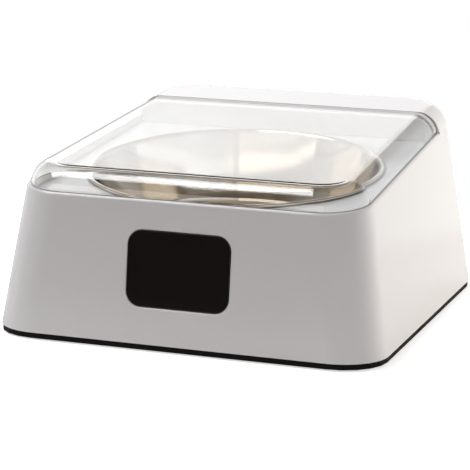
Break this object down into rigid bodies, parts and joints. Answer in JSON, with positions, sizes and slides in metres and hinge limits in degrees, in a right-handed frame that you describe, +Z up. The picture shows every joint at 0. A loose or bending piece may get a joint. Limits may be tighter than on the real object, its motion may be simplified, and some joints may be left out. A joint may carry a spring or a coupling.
{
  "type": "sensor pet feeder",
  "caption": "Low tapered pet feeder with a sloping clear lid that a geared motor opens over a round lift-out steel bowl, and a dark sensor window in the front wall.",
  "frame": {"origin": "on the floor, under the middle of the base's bounding box", "axes": "+Z up; the front with the sensor window faces -Y and the hinge is at +Y; +X is the object's left as it faces you, so the right-hand side in a front view"},
  "size_m": [0.236, 0.27, 0.1231],
  "materials": {
    "white_abs": "moulded, glossy white",
    "black_abs": "moulded, fine matt black",
    "clear_pc": "clear moulded plastic, polished",
    "polished_steel": "stainless steel, mirror polished",
    "plain_steel": "plain steel, as drawn or rolled",
    "brass": "turned brass",
    "acetal": "natural acetal",
    "black_gloss": "polished, infrared-passing black",
    "board_green": "solder mask over glass-fibre board",
    "clear_lens": "clear epoxy lens",
    "dark_lens": "dark epoxy lens",
    "cell_sleeve": "plain shrink sleeve",
    "rubber": "soft moulded rubber",
    "cable_sleeve": "flexible insulation"
  },
  "bodies": {
    "base": {"housing": "white_abs", "base_plate": "black_abs", "hinge_cover": "white_abs", "shaft_bush_right": "brass", "shaft_bush_left": "brass", "idler_pin": "plain_steel", "output_pin": "plain_steel", "drive_bracket": "black_abs", "motor_gearbox": "brass", "motor_can": "plain_steel", "sensor_window": "black_gloss", "sensor_holder": "black_abs", "sensor_board": "board_green", "ir_emitter": "clear_lens", "ir_receiver": "dark_lens", "switch_body": "black_abs", "battery_1": "cell_sleeve", "battery_2": "cell_sleeve", "battery_3": "cell_sleeve", "battery_4": "cell_sleeve", "terminal_plus": "plain_steel", "front_link": "plain_steel", "terminal_minus": "plain_steel", "rear_link_1": "plain_steel", "rear_link_2": "plain_steel", "foot_1": "rubber", "foot_2": "rubber", "foot_3": "rubber", "foot_4": "rubber", "base_screw_1": "plain_steel", "base_screw_2": "plain_steel", "base_screw_3": "plain_steel", "base_screw_4": "plain_steel", "base_screw_5": "plain_steel", "base_screw_6": "plain_steel", "bracket_screw_1": "plain_steel", "bracket_screw_2": "plain_steel", "control_board": "board_green", "motor_cable": "cable_sleeve", "sensor_cable": "cable_sleeve", "battery_lead_minus": "cable_sleeve", "battery_lead_plus": "cable_sleeve", "switch_cable": "cable_sleeve"},
    "lid": {"lid": "clear_pc", "drive_shaft": "plain_steel", "pivot_pin": "plain_steel", "lid_gear": "brass"},
    "idler": {"idler_gear": "acetal"},
    "output": {"output_gear": "acetal"},
    "pinion": {"motor_pinion": "brass"},
    "bowl": {"bowl": "polished_steel"},
    "battery_door": {"battery_door": "black_abs"},
    "rocker": {"switch_rocker": "black_gloss"}
  },
  "joints": [
    {"name": "lid_hinge", "type": "hinge", "parent": "base", "child": "lid", "pos_m": [0, 0.06708, 0.11207], "axis": [-1, 0, 0], "range_deg": [0, 75]},
    {"name": "idler_spin", "type": "hinge", "parent": "base", "child": "idler", "pos_m": [0.061, 0.07068, 0.10252], "axis": [1, 0, 0], "range_deg": [0, 52.5]},
    {"name": "output_spin", "type": "hinge", "parent": "base", "child": "output", "pos_m": [0.061, 0.07662, 0.09423], "axis": [-1, 0, 0], "range_deg": [0, 75]},
    {"name": "pinion_spin", "type": "hinge", "parent": "base", "child": "pinion", "pos_m": [0.053, 0.08698, 0.09253], "axis": [1, 0, 0], "range_deg": [0, 240]},
    {"name": "bowl_lift", "type": "slide", "parent": "base", "child": "bowl", "axis": [0, -0.0985, 0.9951], "range_m": [0, 0.007]},
    {"name": "battery_door_slide", "type": "slide", "parent": "base", "child": "battery_door", "axis": [0, 1, 0], "range_m": [0, 0.062]},
    {"name": "rocker_tip", "type": "hinge", "parent": "base", "child": "rocker", "pos_m": [-0.084, 0.13118, 0.034], "axis": [1, 0, 0], "range_deg": [0, 16]}
  ],
  "couplings": [
    {"joint": "idler_spin", "follows": "lid_hinge", "ratio": 0.7},
    {"joint": "output_spin", "follows": "lid_hinge", "ratio": 1},
    {"joint": "pinion_spin", "follows": "lid_hinge", "ratio": 3.2}
  ]
}
